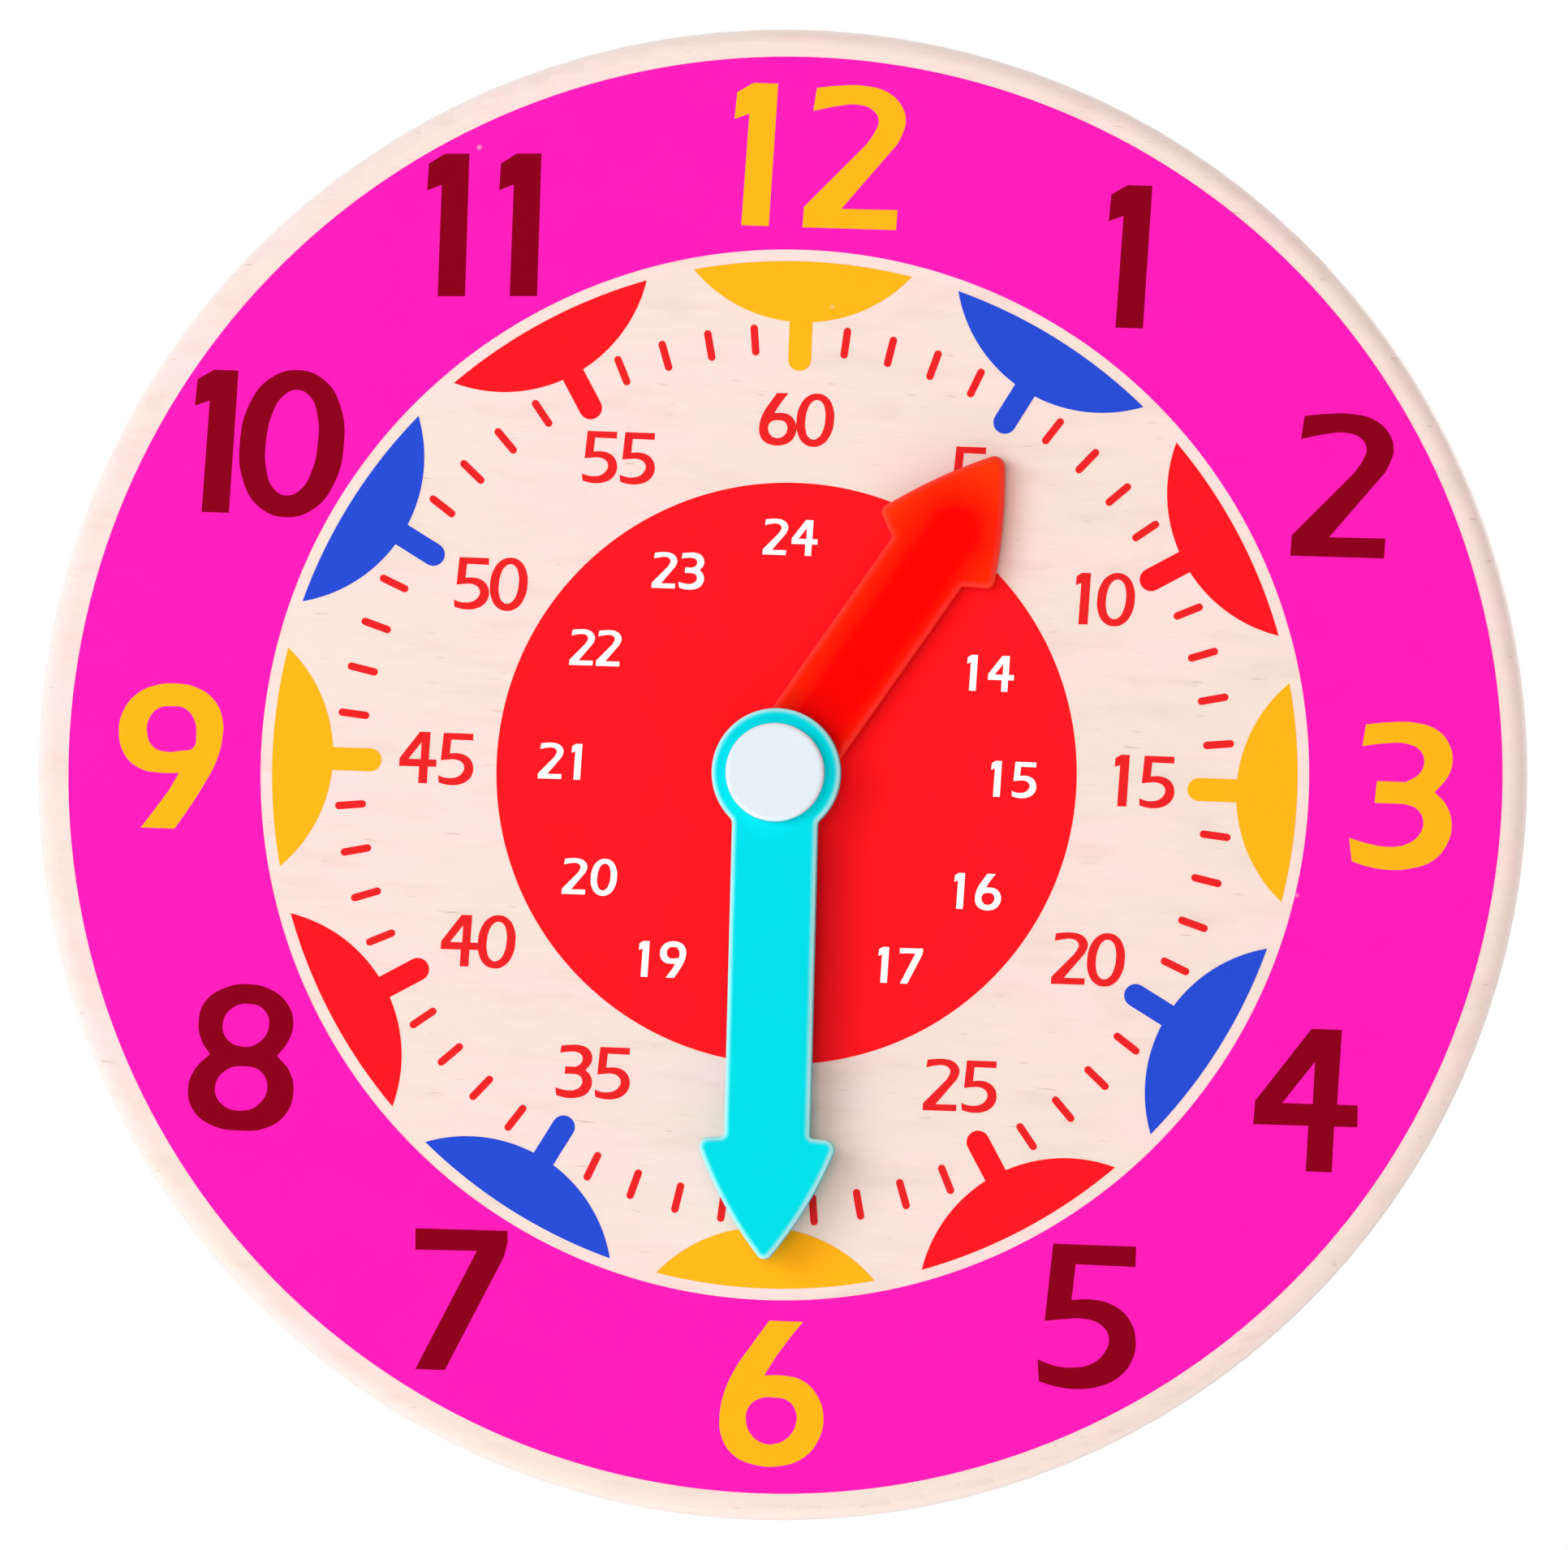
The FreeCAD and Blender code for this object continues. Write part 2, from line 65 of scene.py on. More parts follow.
segment_outside = 75.8 * MM
segment_bulge = 66.8 * MM
segment_half_angle = math.radians(12.3)
stem_end = 59.6 * MM
stem_width = 3.4 * MM
tick_outside = 66.6 * MM
tick_inside = 62.0 * MM
tick_width = 1.11 * MM

hour_height = 21.0 * MM
minute_height = 7.7 * MM
day_height = 5.3 * MM

# How much each side of a stroke grows or shrinks, on the numerals' own grid
hour_weight = -0.1
minute_weight = -0.8
day_weight = -0.4

# Screws behind the board, in millimetres right of and above the hands' axis
CASE_SCREW_PLACES = [(22.0, 17.2), (17.2, -44.5), (-22.0, 17.2), (-17.2, -44.5)]
COVER_SCREW_PLACES = [(0.0, 25.9), (0.0, -48.7), (25.3, -12.0), (-25.3, -12.0)]
case_screw_seat = 14.4 * MM
cover_screw_seat = 1.5 * MM

# The hour hand's angle from twelve at rest, clockwise, in degrees
hour_rest_angle = 33.1

# Print on the dial: each numeral's middle, in millimetres right of and above
# the middle of its screen
HOUR_PLACES = {
    "12": (1.7, 91.3),
    "1": (48.0, 78.1),
    "2": (80.8, 45.4),
    "3": (91.2, 0.0),
    "4": (78.8, -45.2),
    "5": (47.8, -78.1),
    "6": (1.7, -91.2),
    "7": (-45.1, -79.1),
    "8": (-78.6, -44.6),
    "9": (-91.0, -0.7),
    "10": (-78.1, 46.2),
    "11": (-47.4, 79.5),
}
MINUTE_PLACES = {
    "60": (-0.1, 52.4),
    "5": (25.6, 45.5),
    "10": (46.4, 27.5),
    "15": (53.2, 0.9),
    "20": (45.9, -25.6),
    "25": (27.7, -44.9),
    "30": (0.4, -52.2),
    "35": (-26.6, -44.9),
    "40": (-44.3, -26.2),
    "45": (-51.5, 0.6),
    "50": (-44.4, 26.6),
    "55": (-26.2, 45.9),
}
DAY_PLACES = {
    "24": (-0.7, 34.8),
    "13": (16.9, 29.0),
    "14": (29.6, 15.8),
    "15": (33.6, 0.3),
    "16": (28.9, -16.4),
    "17": (17.9, -27.7),
    "18": (0.3, -33.1),
    "19": (-17.3, -28.1),
    "20": (-28.5, -16.3),
    "21": (-33.5, 0.6),
    "22": (-28.9, 17.5),
    "23": (-17.1, 29.3),
}

# The numerals are drawn on a grid 100 high, each about its own middle. A
# point is a corner, or lies on a round stretch where it says R.
R = "AUTO"


def oval(middle, half_width, half_height, lean):
    """Round points of an upright oval, a little squarer than an ellipse, that leans right."""
    squareness = 0.93
    points = []
    for step in range(12):
        across = math.cos(math.pi * step / 6)
        up = math.sin(math.pi * step / 6)
        across = math.copysign(abs(across) ** squareness, across)
        up = math.copysign(abs(up) ** squareness, up)
        x = middle[0] + half_width * across + lean * up
        z = middle[1] + half_height * up
        points.append((x, z, R))
    return points


DIGITS = {
    "0": [oval((0, 50.3), 36.8, 52.0, 2.5), oval((0, 51.0), 18.2, 37.2, 2.5)],
    "1": [
        [(15, 100.5), (12, 0), (-7.5, 0), (-4.7, 78.5), (-15, 74.5), (-13.8, 93.5), (-2.5, 100.5)],
    ],
    "2": [
        [(-29, 98.5), (-14, 100.5, R), (5, 101, R), (20, 97.5, R), (30, 89.5, R), (34.5, 78, R)]
        + [(32.5, 68, R), (29, 60.5), (-8.5, 14), (31, 14.5), (30.5, 0.3), (-35.5, 0)]
        + [(-35, 14.5), (7.5, 60), (13, 69, R), (15.3, 77, R), (11, 84, R), (0, 87.5, R)]
        + [(-14, 86, R), (-31, 82)],
    ],
    "3": [
        [(-26.5, 100), (-10, 102, R), (8, 102.3, R), (24, 97.5, R), (32.5, 88, R), (35.3, 76, R)]
        + [(32.5, 65.5, R), (23.5, 54), (31.5, 46, R), (36.3, 31, R), (33, 17, R), (24, 6, R)]
        + [(9, 0, R), (-9, -1.5, R), (-23, 0.5, R), (-33, 3.5), (-35.5, 20), (-22, 16.5, R)]
        + [(-8, 14.7, R), (5, 17, R), (14, 24.5, R), (16, 34, R), (11, 42, R), (2, 45), (-18.5, 45)]
        + [(-17.5, 60.5), (3, 60.5), (12, 66.5, R), (15.3, 75, R), (12, 83, R), (2, 87.3, R)]
        + [(-12, 87, R), (-28.5, 84.5)],
    ],
    "4": [
        [(1.5, 100.5), (23, 100.5), (21.5, 48), (36, 48), (36.3, 32.5), (20, 32.3), (19.5, 0.3)]
        + [(1, 0.3), (1.7, 32.3), (-37, 32), (-36.3, 48.5)],
        [(4.7, 77), (-17, 47.8), (4.2, 47.8)],
    ],
    "5": [
        [(-26.5, 100), (32, 100), (32, 85.5), (-10, 86), (-12, 61), (3, 61.8, R), (17, 58.5, R)]
        + [(28.5, 49.5, R), (34, 35, R), (32, 20, R), (22.5, 7.5, R), (8, 0.5, R), (-8, -1.5, R)]
        + [(-22, 0, R), (-33, 3), (-34.5, 18.5), (-22, 14.5, R), (-10, 13.6, R), (4, 17, R)]
        + [(13, 26, R), (15, 35, R), (10, 43.5, R), (-3, 48, R), (-16, 47.3), (-30.5, 45.5)],
    ],
    "6": [
        [(-3.5, 101), (20.5, 101), (12, 90), (3, 77), (-5.5, 62.5), (8, 62.8, R), (21, 60, R)]
        + [(32, 50, R), (37.2, 34, R), (34, 18, R), (24, 5.5, R), (8, -0.8, R), (-9, -0.8, R)]
        + [(-25, 5.5, R), (-34, 18, R), (-36, 33, R), (-33.5, 49, R), (-26, 67, R), (-15, 84, R)],
        [(3, 47, R), (-8, 46, R), (-15.5, 40, R), (-17.3, 31, R), (-13.5, 21, R), (-5, 15, R)]
        + [(4, 14.8, R), (13, 20, R), (18, 30, R), (16.5, 40, R), (11, 45.5, R)],
    ],
    "7": [
        [(-33.5, 99), (31.5, 99.5), (32, 91.5), (29.7, 81), (-9, 0), (-30, 0), (10.3, 84.5)]
        + [(-33, 83.8)],
    ],
    "8": [
        [(3, 101.8, R), (20, 98, R), (31, 89, R), (35.7, 75, R), (32, 61.5, R), (25, 52)]
        + [(34, 42, R), (37.6, 27, R), (32.5, 11, R), (19, 1, R), (0, -1.5, R), (-20, 1.8, R)]
        + [(-33, 12, R), (-37, 27, R), (-32.5, 41, R), (-22.5, 51.5), (-29, 61.5, R)]
        + [(-31.3, 75, R), (-27.5, 88, R), (-15, 98, R)],
        [(4, 87.8, R), (-7, 85, R), (-13.8, 75, R), (-11, 63, R), (0, 57.8, R), (11, 60.5, R)]
        + [(18.5, 73, R), (14.5, 84, R)],
        [(2, 43.7, R), (-10, 41, R), (-17.8, 29, R), (-13, 17, R), (2, 12.8, R), (13, 17.5, R)]
        + [(18.8, 29, R), (14, 40.5, R)],
    ],
    "9": [
        [(2, 102.2, R), (17, 99.8, R), (29.5, 91.5, R), (35.8, 79, R), (36.3, 64, R), (32.5, 48, R)]
        + [(25, 32.5, R), (16, 17, R), (5, 0), (-19, 0), (-9, 14), (0, 27), (6.5, 39.3)]
        + [(-7, 39, R), (-21, 41.5, R), (-32, 50.5, R), (-37, 67, R), (-34, 82.5, R)]
        + [(-24.5, 94.5, R), (-12, 100.5, R)],
        [(0, 86, R), (9, 84.8, R), (16, 77, R), (17.7, 67, R), (16, 57.5, R), (7, 55, R)]
        + [(-3, 54, R), (-12, 57, R), (-17, 67, R), (-15, 78.5, R), (-9, 84.5, R)],
    ],
}

# How far the artwork turns a numeral to the left, in degrees
HOUR_TURNS = {"11": 2.1}

# Room between two digits, on their own grid. A 1 stands looser, and each
# numeral named here has its own room, as the artwork spaces it.
DIGIT_GAP = 4.5
GAP_AFTER_ONE = 19.0
HOUR_GAPS = {"10": 2.7, "11": 20.8, "12": 20.7}
MINUTE_GAPS = {"10": 12.0, "20": -2.0, "25": 4.0, "30": -2.0, "35": 4.0, "40": -2.0}
MINUTE_GAPS |= {"45": 2.5, "50": 0.0, "55": 4.0, "60": -2.0}
DAY_GAPS = {"13": 29.0, "14": 29.0, "15": 29.0, "16": 29.0, "17": 29.0, "18": 29.0}
DAY_GAPS |= {"19": 29.0, "20": 10.0, "21": 22.0, "24": 10.0}


def linear(hex_colour):
    """sRGB hex to the linear colour that shaders take."""
    parts = [int(hex_colour[i : i + 2], 16) / 255 for i in (0, 2, 4)]
    turned = [p / 12.92 if p <= 0.04045 else ((p + 0.055) / 1.055) ** 2.4 for p in parts]
    return (*turned, 1.0)


def add(tree, kind, inputs=None, **settings):
    """Adds a node. An input is given as a value or as the socket that feeds it."""
    made = tree.nodes.new(kind)
    for name, value in settings.items():
        setattr(made, name, value)
    for name, value in (inputs or {}).items():
        if isinstance(value, bpy.types.NodeSocket):
            tree.links.new(value, made.inputs[name])
        else:
            made.inputs[name].default_value = value
    return made


def surface(name, **values):
    """A new material, its node tree and its shader with the given constants."""
    made = bpy.data.materials.new(name)
    made.use_nodes = True
    tree = made.node_tree
    shader = tree.nodes["Principled BSDF"]
    for socket, value in values.items():
        shader.inputs[socket.replace("_", " ")].default_value = value
    return made, tree, shader


def bare_beech():
    """Sanded beech plywood under a thin white wash: pale and pinkish, with few short flecks.

    Its edge shows the cross ply's end grain between two glue lines.
    """
    grain_turn = math.radians(-2)
    core_half = 1.3 * MM
    core_blend = 0.1 * MM
    glue_half = 0.09 * MM

    made, tree, shader = surface("washed_beech_plywood", IOR=1.5, Specular_IOR_Level=0.2)
    coords = add(tree, "ShaderNodeTexCoord")
    place = coords.outputs["Object"]
    grain_run = add(
        tree,
        "ShaderNodeMapping",
        {"Vector": place, "Rotation": (0, grain_turn, 0)},
    )
    level = grain_run.outputs["Vector"]
    band = add(
        tree,
        "ShaderNodeMapping",
        {"Vector": level, "Scale": (1 / (40 * MM), 1 / (20 * MM), 1 / (12 * MM))},
    )
    bands = add(
        tree,
        "ShaderNodeTexNoise",
        {"Vector": band.outputs["Vector"], "Scale": 1.0, "Detail": 4.0, "Roughness": 0.6},
    )
    fibre = add(
        tree,
        "ShaderNodeMapping",
        {"Vector": level, "Scale": (1 / (16 * MM), 1 / (0.6 * MM), 1 / (0.6 * MM))},
    )
    fibres = add(
        tree,
        "ShaderNodeTexNoise",
        {"Vector": fibre.outputs["Vector"], "Scale": 1.0, "Detail": 3.0, "Roughness": 0.6},
    )
    # Flecks about 3 mm long and 0.4 mm wide, about one to the square centimetre
    fleck = add(
        tree,
        "ShaderNodeMapping",
        {"Vector": level, "Scale": (1 / (4.5 * MM), 1 / (1.5 * MM), 1 / (0.6 * MM))},
    )
    flecks = add(
        tree,
        "ShaderNodeTexNoise",
        {"Vector": fleck.outputs["Vector"], "Scale": 1.0, "Detail": 1.0, "Roughness": 0.4},
    )
    fleck_mask = add(
        tree,
        "ShaderNodeMapRange",
        {"Value": flecks.outputs["Fac"], "From Min": 0.71, "From Max": 0.82, "To Max": 0.6},
    )
    band_mask = add(
        tree,
        "ShaderNodeMapRange",
        {"Value": bands.outputs["Fac"], "From Min": 0.35, "From Max": 0.65},
    )
    toned = add(
        tree,
        "ShaderNodeMix",
        {"Factor": band_mask.outputs[0], "A": linear("F5D9D7"), "B": linear("EDDCD0")},
        data_type="RGBA",
    )
    fibre_mask = add(
        tree,
        "ShaderNodeMapRange",
        {"Value": fibres.outputs["Fac"], "From Min": 0.4, "From Max": 0.8, "To Max": 0.18},
    )
    streaked = add(
        tree,
        "ShaderNodeMix",
        {"Factor": fibre_mask.outputs[0], "A": toned.outputs["Result"], "B": linear("E4C8BC")},
        data_type="RGBA",
    )
    # Soft darker patches some 8 mm long, where the wash took less
    patch = add(
        tree,
        "ShaderNodeMapping",
        {"Vector": level, "Scale": (1 / (11 * MM), 1 / (4 * MM), 1 / (3 * MM))},
    )
    patches = add(
        tree,
        "ShaderNodeTexNoise",
        {"Vector": patch.outputs["Vector"], "Scale": 1.0, "Detail": 2.0, "Roughness": 0.5},
    )
    patch_mask = add(
        tree,
        "ShaderNodeMapRange",
        {"Value": patches.outputs["Fac"], "From Min": 0.52, "From Max": 0.72, "To Max": 0.26},
    )
    patched = add(
        tree,
        "ShaderNodeMix",
        {"Factor": patch_mask.outputs[0], "A": streaked.outputs["Result"], "B": linear("DCC0B0")},
        data_type="RGBA",
    )
    flecked = add(
        tree,
        "ShaderNodeMix",
        {"Factor": fleck_mask.outputs[0], "A": patched.outputs["Result"], "B": linear("BE9A88")},
        data_type="RGBA",
    )
    # Where the surface turns away from the front or back it is the sanded edge: paler as sanded
    # wood, and paler still by a painted highlight on the rounded rim
    facing = add(tree, "ShaderNodeSeparateXYZ", {"Vector": coords.outputs["Normal"]})
    side = add(tree, "ShaderNodeMath", {0: facing.outputs["Y"]}, operation="ABSOLUTE")
    sanded_edge_highlight_mask = add(
        tree,
        "ShaderNodeMapRange",
        {"Value": side.outputs[0], "From Min": 0.9, "From Max": 0.4, "To Max": 0.7},
    )
    sanded_edge_highlighted = add(
        tree,
        "ShaderNodeMix",
        {"Factor": sanded_edge_highlight_mask.outputs[0], "A": flecked.outputs["Result"], "B": linear("FFF0EA")},
        data_type="RGBA",
    )
    depth = add(tree, "ShaderNodeSeparateXYZ", {"Vector": place})
    middle_ply = add(
        tree,
        "ShaderNodeMath",
        {0: depth.outputs["Y"], 1: -ply_middle},
        operation="ADD",
    )
    from_middle = add(tree, "ShaderNodeMath", {0: middle_ply.outputs[0]}, operation="ABSOLUTE")
    core_mask = add(
        tree,
        "ShaderNodeMapRange",
        {
            "Value": from_middle.outputs[0],
            "From Min": core_half + core_blend,
            "From Max": core_half - core_blend,
            "To Max": 0.45,
        },
    )
    cored = add(
        tree,
        "ShaderNodeMix",
        {"Factor": core_mask.outputs[0], "A": sanded_edge_highlighted.outputs["Result"], "B": linear("E0BEA6")},
        data_type="RGBA",
    )
    from_glue = add(
        tree,
        "ShaderNodeMath",
        {0: from_middle.outputs[0], 1: core_half, 2: glue_half},
        operation="COMPARE",
    )
    glue_mask = add(tree, "ShaderNodeMath", {0: from_glue.outputs[0], 1: 0.5}, operation="MULTIPLY")
    glued = add(
        tree,
        "ShaderNodeMix",
        {"Factor": glue_mask.outputs[0], "A": cored.outputs["Result"], "B": linear("9A7358")},
        data_type="RGBA",
    )
    rough = add(
        tree,
        "ShaderNodeMapRange",
        {"Value": fibres.outputs["Fac"], "To Min": 0.5, "To Max": 0.68},
    )
    grain = add(
        tree,
        "ShaderNodeBump",
        {"Height": fibres.outputs["Fac"], "Strength": 0.12, "Distance": 0.1 * MM},
    )
    tree.links.new(glued.outputs["Result"], shader.inputs["Base Color"])
    tree.links.new(rough.outputs[0], shader.inputs["Roughness"])
    tree.links.new(grain.outputs["Normal"], shader.inputs["Normal"])
    return made


def screen_ink(name, hex_colour, worn_hex):
    """Screen ink on sanded beech: flat and opaque, a faint grain below, a few pinholes."""
    made, tree, shader = surface(name, IOR=1.48, Specular_IOR_Level=0.02)
    place = add(tree, "ShaderNodeTexCoord").outputs["Object"]
    cloud = add(
        tree,
        "ShaderNodeTexNoise",
        {"Vector": place, "Scale": 1 / (9 * MM), "Detail": 3.0},
    )
    fibre = add(
        tree,
        "ShaderNodeMapping",
        {"Vector": place, "Scale": (1 / (14 * MM), 1 / (0.5 * MM), 1 / (0.6 * MM))},
    )
    fibres = add(
        tree,
        "ShaderNodeTexNoise",
        {"Vector": fibre.outputs["Vector"], "Scale": 1.0, "Detail": 3.0},
    )
    tint = add(
        tree,
        "ShaderNodeMapRange",
        {"Value": cloud.outputs["Fac"], "From Min": 0.3, "From Max": 0.7, "To Max": 0.12},
    )
    clouded = add(
        tree,
        "ShaderNodeMix",
        {"Factor": tint.outputs[0], "A": linear(hex_colour), "B": linear(worn_hex)},
        data_type="RGBA",
    )
    # Pinholes less than a millimetre wide, one to every 18 mm square
    hole = add(tree, "ShaderNodeTexVoronoi", {"Vector": place, "Scale": 1 / (18 * MM)})
    hole_mask = add(
        tree,
        "ShaderNodeMapRange",
        {
            "Value": hole.outputs["Distance"],
            "From Min": 0.012,
            "From Max": 0.03,
            "To Min": 0.45,
            "To Max": 0.0,
        },
    )
    coloured = add(
        tree,
        "ShaderNodeMix",
        {"Factor": hole_mask.outputs[0], "A": clouded.outputs["Result"], "B": linear("FFD9DE")},
        data_type="RGBA",
    )
    rough = add(
        tree,
        "ShaderNodeMapRange",
        {"Value": cloud.outputs["Fac"], "To Min": 0.5, "To Max": 0.65},
    )
    grain = add(
        tree,
        "ShaderNodeBump",
        {"Height": fibres.outputs["Fac"], "Strength": 0.06, "Distance": 0.05 * MM},
    )
    tree.links.new(coloured.outputs["Result"], shader.inputs["Base Color"])
    tree.links.new(rough.outputs[0], shader.inputs["Roughness"])
    tree.links.new(grain.outputs["Normal"], shader.inputs["Normal"])
    return made


def moulded(
    name, hex_colour, cloud_hex, roughness, texture_mm, texture_depth_mm, ior=1.54, gloss=0.5
):
    """Injection moulded plastic: an even colour, with the mould's fine texture."""
    made, tree, shader = surface(name, IOR=ior, Specular_IOR_Level=gloss)
    place = add(tree, "ShaderNodeTexCoord").outputs["Object"]
    cloud = add(
        tree,
        "ShaderNodeTexNoise",
        {"Vector": place, "Scale": 1 / (12 * MM), "Detail": 3.0},
    )
    mask = add(
        tree,
        "ShaderNodeMapRange",
        {"Value": cloud.outputs["Fac"], "From Min": 0.35, "From Max": 0.7},
    )
    coloured = add(
        tree,
        "ShaderNodeMix",
        {"Factor": mask.outputs[0], "A": linear(hex_colour), "B": linear(cloud_hex)},
        data_type="RGBA",
    )
    skin = add(
        tree,
        "ShaderNodeTexNoise",
        {"Vector": place, "Scale": 1 / (texture_mm * MM), "Detail": 2.0},
    )
    rough = add(
        tree,
        "ShaderNodeMapRange",
        {"Value": cloud.outputs["Fac"], "To Min": roughness - 0.05, "To Max": roughness + 0.08},
    )
    bump = add(
        tree,
        "ShaderNodeBump",
        {"Height": skin.outputs["Fac"], "Strength": 0.5, "Distance": texture_depth_mm * MM},
    )
    tree.links.new(coloured.outputs["Result"], shader.inputs["Base Color"])
    tree.links.new(rough.outputs[0], shader.inputs["Roughness"])
    tree.links.new(bump.outputs["Normal"], shader.inputs["Normal"])
    return made, tree, shader


def paint_edge_highlight(tree, shader, colour, highlight_hex, strength):
    """Painted highlight: pales a moulded hand's rounded edge, where light would catch it, but not
    its side.
    """
    normal = add(tree, "ShaderNodeTexCoord").outputs["Normal"]
    facing = add(tree, "ShaderNodeSeparateXYZ", {"Vector": normal})
    side = add(tree, "ShaderNodeMath", {0: facing.outputs["Y"]}, operation="ABSOLUTE")
    turned = add(tree, "ShaderNodeMath", {0: 1.0, 1: side.outputs[0]}, operation="SUBTRACT")
    # Nothing on the face or the upright side, and most halfway round the edge
    round_part = add(
        tree,
        "ShaderNodeMath",
        {0: side.outputs[0], 1: turned.outputs[0]},
        operation="MULTIPLY",
    )
    mask = add(
        tree,
        "ShaderNodeMapRange",
        {"Value": round_part.outputs[0], "From Max": 0.22, "To Max": strength},
    )
    highlighted = add(
        tree,
        "ShaderNodeMix",
        {"Factor": mask.outputs[0], "A": colour, "B": linear(highlight_hex)},
        data_type="RGBA",
    )
    tree.links.new(highlighted.outputs["Result"], shader.inputs["Base Color"])


def hand_material(name, hex_colour, cloud_hex, highlight_hex, highlight_strength):
    """Moulded ABS, smooth and evenly coloured, with a painted highlight that pales its rounded
    edges.

    Its gloss is low, because the light by the camera gives no glare.
    """
    made, tree, shader = moulded(
        name,
        hex_colour,
        cloud_hex,
        roughness=0.35,
        texture_mm=0.5,
        texture_depth_mm=0.006,
        gloss=0.02,
    )
    colour = shader.inputs["Base Color"].links[0].from_socket
    paint_edge_highlight(tree, shader, colour, highlight_hex, highlight_strength)
    return made, tree, shader


def red_hand():
    """Translucent red ABS: pure red along the middle, and a painted orange glow near its edges and
    in its head, where light would come through.
    """
    head_start = 44 * MM
    core_aside = 0.8 * MM
    core_half_width = 3.2 * MM
    painted_glow_from = 10.5 * MM
    light_depth_mm = (4.0, 0.4, 0.2)

    made, tree, shader = hand_material(
        "red_abs", "FF0000", "FF0200", "FF5E62", highlight_strength=0.25
    )
    highlight_mix = shader.inputs["Base Color"].links[0].from_node
    red = highlight_mix.inputs["A"].links[0].from_socket
    # Distance from a line along the hand that ends inside its head
    place = add(tree, "ShaderNodeTexCoord").outputs["Object"]
    along = add(
        tree,
        "ShaderNodeMapping",
        {"Vector": place, "Rotation": (0, -math.radians(hour_rest_angle), 0)},
    )
    apart = add(tree, "ShaderNodeSeparateXYZ", {"Vector": along.outputs["Vector"]})
    past = add(
        tree,
        "ShaderNodeMath",
        {0: apart.outputs["Z"], 1: head_start},
        operation="SUBTRACT",
    )
    beyond = add(tree, "ShaderNodeMath", {0: past.outputs[0], 1: 0.0}, operation="MAXIMUM")
    across = add(
        tree,
        "ShaderNodeMath",
        {0: apart.outputs["X"], 1: core_aside},
        operation="SUBTRACT",
    )
    away = add(tree, "ShaderNodeCombineXYZ", {"X": across.outputs[0], "Z": beyond.outputs[0]})
    distance = add(tree, "ShaderNodeVectorMath", {0: away.outputs[0]}, operation="LENGTH")
    mask = add(
        tree,
        "ShaderNodeMapRange",
        {
            "Value": distance.outputs["Value"],
            "From Min": core_half_width,
            "From Max": painted_glow_from,
        },
    )
    # Painted glow: orange towards the edges and into the head, standing in for light that comes
    # through the thin plastic
    orange = add(
        tree,
        "ShaderNodeMix",
        {"Factor": mask.outputs[0], "A": red, "B": linear("FC3A06")},
        data_type="RGBA",
    )
    tree.links.new(orange.outputs["Result"], highlight_mix.inputs["A"])
    shader.inputs["Subsurface Weight"].default_value = 0.8
    shader.inputs["Subsurface Radius"].default_value = light_depth_mm
    shader.inputs["Subsurface Scale"].default_value = MM
    return made


def metal(name, hex_colour, tarnish_hex, roughness, scratch_mm):
    """Plated or ground steel: fine turning marks, with the plating's faint clouds."""
    made, tree, shader = surface(name, Metallic=1.0)
    place = add(tree, "ShaderNodeTexCoord").outputs["Object"]
    cloud = add(
        tree,
        "ShaderNodeTexNoise",
        {"Vector": place, "Scale": 1 / (2.5 * MM), "Detail": 4.0},
    )
    coloured = add(
        tree,
        "ShaderNodeMix",
        {"Factor": cloud.outputs["Fac"], "A": linear(hex_colour), "B": linear(tarnish_hex)},
        data_type="RGBA",
    )
    scratch = add(
        tree,
        "ShaderNodeTexNoise",
        {"Vector": place, "Scale": 1 / (scratch_mm * MM), "Detail": 3.0},
    )
    rough = add(
        tree,
        "ShaderNodeMapRange",
        {"Value": scratch.outputs["Fac"], "To Min": roughness - 0.08, "To Max": roughness + 0.12},
    )
    bump = add(
        tree,
        "ShaderNodeBump",
        {"Height": scratch.outputs["Fac"], "Strength": 0.15, "Distance": 0.02 * MM},
    )
    tree.links.new(coloured.outputs["Result"], shader.inputs["Base Color"])
    tree.links.new(rough.outputs[0], shader.inputs["Roughness"])
    tree.links.new(bump.outputs["Normal"], shader.inputs["Normal"])
    return made


def round_points(radius, start, end, count, centre=(0.0, 0.0)):
    """Points along an arc, its angles counted clockwise from the top."""
    angles = [start + (end - start) * i / count for i in range(count + 1)]
    return [
        Vector((centre[0] + radius * math.sin(a), centre[1] + radius * math.cos(a)))
        for a in angles
    ]


def turned_about(points, angle):
    """Points turned clockwise about the middle of the print."""
    turn = Matrix.Rotation(-angle, 2)
    return [turn @ p for p in points]


def filled(outlines, weight=0.0):
    """Flat sheet of ink with the given outlines, the inner ones as holes.

    The sheet lies in XY, a unit thick, and a weight moves each edge outwards.
    """
    drawing = bpy.data.curves.new("drawing", "CURVE")
    drawing.dimensions = "2D"
    drawing.fill_mode = "BOTH"
    drawing.resolution_u = 6
    drawing.extrude = 0.5
    drawing.offset = weight
    for outline in outlines:
        spline = drawing.splines.new("BEZIER")
        spline.bezier_points.add(len(outline) - 1)
        spline.use_cyclic_u = True
        for knot, point in zip(spline.bezier_points, outline):
            knot.co = (point[0], point[1], 0)
            kind = point[2] if len(point) > 2 else "VECTOR"
            knot.handle_left_type = kind
            knot.handle_right_type = kind
    holder = bpy.data.objects.new("drawing", drawing)
    bpy.context.scene.collection.objects.link(holder)
    bpy.context.view_layer.update()
    sheet = bpy.data.meshes.new_from_object(
        holder.evaluated_get(bpy.context.evaluated_depsgraph_get())
    )
    bpy.data.objects.remove(holder)
    bpy.data.curves.remove(drawing)
    return sheet


